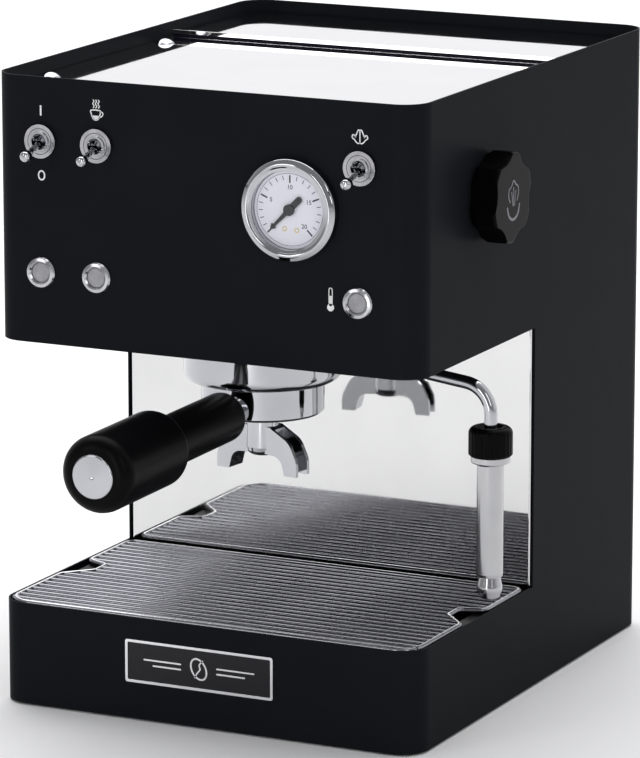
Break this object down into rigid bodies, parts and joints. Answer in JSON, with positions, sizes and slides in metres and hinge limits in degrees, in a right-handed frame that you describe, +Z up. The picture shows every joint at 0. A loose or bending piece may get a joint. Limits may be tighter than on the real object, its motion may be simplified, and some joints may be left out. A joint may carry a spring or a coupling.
{
  "type": "espresso machine",
  "caption": "Free-standing espresso machine with a C-shaped body, group and portafilter, steam wand, gauge, toggle switches, drip tray and cup-warming top.",
  "frame": {"origin": "on the counter, below the middle of the body", "axes": "+X to the user's right, +Y from the front to the back, +Z up"},
  "size_m": [0.2927, 0.4737, 0.38],
  "materials": {
    "body_black": "satin powder coat",
    "tray_black": "matte",
    "polished_steel": "mirror polished",
    "brushed_steel": "brushed",
    "galvanised": "plain sheet",
    "chrome": "polished plate",
    "grip_black": "satin moulded",
    "rubber": "matte",
    "brass": "machined",
    "copper": "drawn",
    "tank_clear": "clear",
    "silicone": "translucent",
    "white_plastic": "moulded",
    "lens_grey": "frosted",
    "dial_white": "printed",
    "needle_black": "satin",
    "clear_glass": "clear",
    "badge_silver": "satin",
    "pump_grey": "moulded"
  },
  "bodies": {
    "machine": {"body_shell": "body_black", "base_plate": "galvanised", "feet": "rubber", "foot_screws": "galvanised", "head_floor": "body_black", "splash_panel": "polished_steel", "badge_plate": "badge_silver", "warming_plate": "polished_steel", "plate_screws": "chrome", "tank_shelf": "galvanised", "tank_valve": "white_plastic", "pump": "pump_grey", "pump_mounts": "rubber", "suction_hose": "silicone", "pressure_pipe": "white_plastic", "boiler_body": "brushed_steel", "boiler_lid": "brushed_steel", "boiler_bolts": "galvanised", "thermostats": "grip_black", "brew_solenoid": "brass", "steam_valve": "brass", "steam_pipe": "copper", "wand_joint": "chrome", "group_bell": "chrome", "group_gasket": "rubber", "shower_screen": "brushed_steel", "switch_nuts": "chrome", "light_lenses": "lens_grey", "gauge_case": "chrome", "gauge_dial": "dial_white", "gauge_glass": "clear_glass", "gauge_tube": "copper", "power_inlet": "grip_black", "inlet_pins": "brass", "power_switch": "chrome", "brew_switch": "chrome", "steam_switch": "chrome", "power_light": "chrome", "brew_light": "chrome", "heat_light": "chrome"},
    "portafilter": {"portafilter_ring": "chrome", "filter_basket": "brushed_steel", "double_spout": "chrome", "handle_stud": "galvanised", "handle_grip": "grip_black", "handle_cap": "chrome"},
    "power_lever": {"power_lever": "chrome"},
    "brew_lever": {"brew_lever": "chrome"},
    "steam_lever": {"steam_lever": "chrome"},
    "knob": {"steam_knob": "grip_black", "steam_spindle": "brushed_steel"},
    "wand": {"wand_tube": "chrome", "wand_collar": "grip_black", "wand_sleeve": "brushed_steel", "wand_tip": "brushed_steel"},
    "needle": {"gauge_needle": "needle_black"},
    "tank": {"water_tank": "tank_clear"},
    "lid": {"tank_lid": "polished_steel"},
    "tray": {"drip_tray": "tray_black"},
    "grille": {"grille": "polished_steel"}
  },
  "joints": [
    {"name": "portafilter_turn", "type": "hinge", "parent": "machine", "child": "portafilter", "pos_m": [0, -0.09, 0.2], "axis": [0, 0, 1], "range_deg": [-50, 0]},
    {"name": "power_switch_flip", "type": "hinge", "parent": "machine", "child": "power_lever", "pos_m": [-0.1039, -0.16725, 0.3424], "axis": [1, 0, 0], "range_deg": [-34, 0]},
    {"name": "brew_switch_flip", "type": "hinge", "parent": "machine", "child": "brew_lever", "pos_m": [-0.0671, -0.16725, 0.3424], "axis": [1, 0, 0], "range_deg": [-34, 0]},
    {"name": "steam_switch_flip", "type": "hinge", "parent": "machine", "child": "steam_lever", "pos_m": [0.1015, -0.16725, 0.3424], "axis": [1, 0, 0], "range_deg": [-34, 0]},
    {"name": "steam_knob_turn", "type": "hinge", "parent": "machine", "child": "knob", "pos_m": [0.1373, -0.075, 0.314], "axis": [1, 0, 0], "range_deg": [0, 270]},
    {"name": "wand_swivel", "type": "hinge", "parent": "machine", "child": "wand", "pos_m": [0.075, -0.078, 0.222], "axis": [0, 0, 1], "range_deg": [-90, 0]},
    {"name": "gauge_needle_turn", "type": "hinge", "parent": "machine", "child": "needle", "pos_m": [0.0579, -0.1715, 0.3153], "axis": [0, 1, 0], "range_deg": [0, 270], "stiffness_Nm_per_rad": 0.0002},
    {"name": "tank_lift", "type": "slide", "parent": "machine", "child": "tank", "axis": [0, 0, 1], "range_m": [0, 0.2]},
    {"name": "tank_lid_lift", "type": "slide", "parent": "tank", "child": "lid", "axis": [0, 0, 1], "range_m": [0, 0.03]},
    {"name": "tray_lift", "type": "slide", "parent": "machine", "child": "tray", "axis": [0, 0, 1], "range_m": [0, 0.048]},
    {"name": "grille_lift", "type": "slide", "parent": "tray", "child": "grille", "axis": [0, 0, 1], "range_m": [0, 0.015]}
  ]
}
